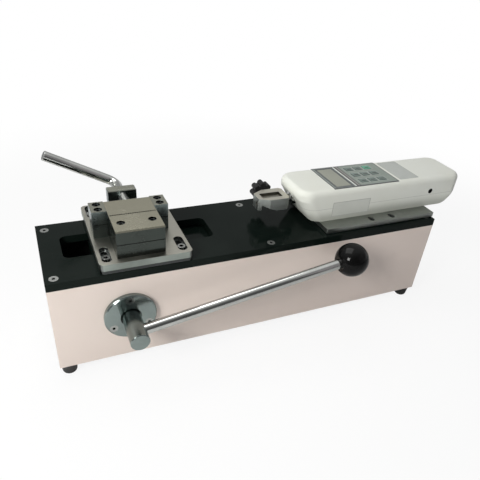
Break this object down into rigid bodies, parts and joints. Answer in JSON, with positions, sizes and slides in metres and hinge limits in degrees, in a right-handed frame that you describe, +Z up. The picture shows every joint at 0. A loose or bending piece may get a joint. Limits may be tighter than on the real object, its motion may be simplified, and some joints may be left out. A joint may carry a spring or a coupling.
{
  "type": "force gauge test stand",
  "caption": "Bench test stand with a lever-driven carriage, a small screw vise and a digital push-pull force gauge with a wire grip.",
  "frame": {"origin": "centre of the whole stand's length and depth, at bench level under the feet", "axes": "+X along the box from the vise to the gauge, +Y away from the lever's side, +Z up"},
  "size_m": [0.535, 0.1888, 0.2057],
  "materials": {
    "aluminium": "sand blasted, grey",
    "battery_wrap": "shrink wrap",
    "black_anodised": "black anodised, satin",
    "black_plastic": "gloss",
    "board": "solder mask",
    "box_paint": "cream paint, satin",
    "case_plastic": "fine textured",
    "chrome": "polished",
    "dark_steel": "oiled, dark",
    "display": "clear cover over a grey-green display",
    "key_green": "satin",
    "key_grey": "satin",
    "nickel": "nickel plated, satin",
    "panel_grey": "printed film, satin",
    "rubber": "matt",
    "steel": "ground, satin"
  },
  "bodies": {
    "box": {"top_plate": "black_anodised", "front_panel": "box_paint", "back_panel": "box_paint", "end_panels": "box_paint", "bottom_plate": "box_paint", "frame_posts": "aluminium", "countersunk_screws": "chrome", "rubber_feet": "rubber", "lever_flange": "chrome", "shaft_bearings": "chrome", "rear_bearing_housing": "steel", "guide_channel": "aluminium", "guide_rail": "steel", "cap_screws": "dark_steel", "gauge_mount_plate": "aluminium", "gauge_lower_shell": "case_plastic", "gauge_upper_shell": "case_plastic", "keypad_panel": "panel_grey", "display_window": "display", "circuit_board": "board", "battery_pack": "battery_wrap", "load_cell": "aluminium", "sensor_shaft": "dark_steel", "nose_ring": "chrome", "jack_socket": "black_plastic", "grip_frame": "nickel"},
    "carriage": {"guide_blocks": "steel", "slide_plate": "black_anodised", "gear_rack": "steel", "carriage_plate": "nickel", "carriage_screws": "dark_steel", "vise_base_screws": "dark_steel"},
    "vise": {"vise_base": "nickel", "fixed_jaw_block": "nickel", "fixed_jaw_cover": "nickel", "jaw_guide_blocks": "nickel", "jaw_guide_covers": "nickel", "vise_screws": "dark_steel", "screw_bracket": "nickel"},
    "jaw": {"moving_jaw": "nickel"},
    "handle": {"vise_spindle": "chrome", "vise_handle": "chrome"},
    "lever": {"pinion_shaft": "steel", "drive_pinion": "steel", "retaining_rings": "dark_steel", "lever_hub": "chrome", "lever_rod": "chrome", "ball_knob": "black_plastic"},
    "grip_clamp": {"grip_pad": "nickel"},
    "grip_knob": {"star_knob": "black_plastic", "clamp_screw": "chrome"},
    "key_row1_column1_body": {"key_row1_column1": "key_grey"},
    "key_row1_column2_body": {"key_row1_column2": "key_grey"},
    "key_row1_column3_body": {"key_row1_column3": "key_green"},
    "key_row2_column1_body": {"key_row2_column1": "key_grey"},
    "key_row2_column2_body": {"key_row2_column2": "key_grey"},
    "key_row2_column3_body": {"key_row2_column3": "key_grey"},
    "key_row3_column1_body": {"key_row3_column1": "key_grey"},
    "key_row3_column2_body": {"key_row3_column2": "key_grey"},
    "key_row3_column3_body": {"key_row3_column3": "key_grey"}
  },
  "joints": [
    {"name": "carriage_slide", "type": "slide", "parent": "box", "child": "carriage", "axis": [1, 0, 0], "range_m": [-0.044, 0.0065]},
    {"name": "main_lever", "type": "hinge", "parent": "box", "child": "lever", "pos_m": [-0.1893, -0.04505, 0.0708], "axis": [0, 1, 0], "range_deg": [-99.5, 15.2]},
    {"name": "vise_adjust", "type": "slide", "parent": "carriage", "child": "vise", "axis": [0, 1, 0], "range_m": [-0.01, 0.0045]},
    {"name": "jaw_slide", "type": "slide", "parent": "vise", "child": "jaw", "axis": [0, 1, 0], "range_m": [0, 0.015]},
    {"name": "vise_screw", "type": "hinge", "parent": "jaw", "child": "handle", "pos_m": [-0.172, 0.07495, 0.1615], "axis": [0, 1, 0], "range_deg": [-5, 1355]},
    {"name": "grip_slide", "type": "slide", "parent": "box", "child": "grip_clamp", "axis": [0, -1, 0], "range_m": [0, 0.005]},
    {"name": "grip_screw", "type": "hinge", "parent": "grip_clamp", "child": "grip_knob", "pos_m": [-0.0045, 0.03495, 0.154], "axis": [0, -1, 0], "range_deg": [-5, 1805]},
    {"name": "key_row1_column1_press", "type": "slide", "parent": "box", "child": "key_row1_column1_body", "axis": [0, 0, -1], "range_m": [0, 0.0008], "stiffness_N_per_m": 300},
    {"name": "key_row1_column2_press", "type": "slide", "parent": "box", "child": "key_row1_column2_body", "axis": [0, 0, -1], "range_m": [0, 0.0008], "stiffness_N_per_m": 300},
    {"name": "key_row1_column3_press", "type": "slide", "parent": "box", "child": "key_row1_column3_body", "axis": [0, 0, -1], "range_m": [0, 0.0008], "stiffness_N_per_m": 300},
    {"name": "key_row2_column1_press", "type": "slide", "parent": "box", "child": "key_row2_column1_body", "axis": [0, 0, -1], "range_m": [0, 0.0008], "stiffness_N_per_m": 300},
    {"name": "key_row2_column2_press", "type": "slide", "parent": "box", "child": "key_row2_column2_body", "axis": [0, 0, -1], "range_m": [0, 0.0008], "stiffness_N_per_m": 300},
    {"name": "key_row2_column3_press", "type": "slide", "parent": "box", "child": "key_row2_column3_body", "axis": [0, 0, -1], "range_m": [0, 0.0008], "stiffness_N_per_m": 300},
    {"name": "key_row3_column1_press", "type": "slide", "parent": "box", "child": "key_row3_column1_body", "axis": [0, 0, -1], "range_m": [0, 0.0008], "stiffness_N_per_m": 300},
    {"name": "key_row3_column2_press", "type": "slide", "parent": "box", "child": "key_row3_column2_body", "axis": [0, 0, -1], "range_m": [0, 0.0008], "stiffness_N_per_m": 300},
    {"name": "key_row3_column3_press", "type": "slide", "parent": "box", "child": "key_row3_column3_body", "axis": [0, 0, -1], "range_m": [0, 0.0008], "stiffness_N_per_m": 300}
  ],
  "couplings": [
    {"joint": "main_lever", "follows": "carriage_slide", "rad_per_m": 39.216},
    {"joint": "vise_screw", "follows": "jaw_slide", "rad_per_m": 1570.8},
    {"joint": "grip_screw", "follows": "grip_slide", "rad_per_m": 6283.2}
  ]
}
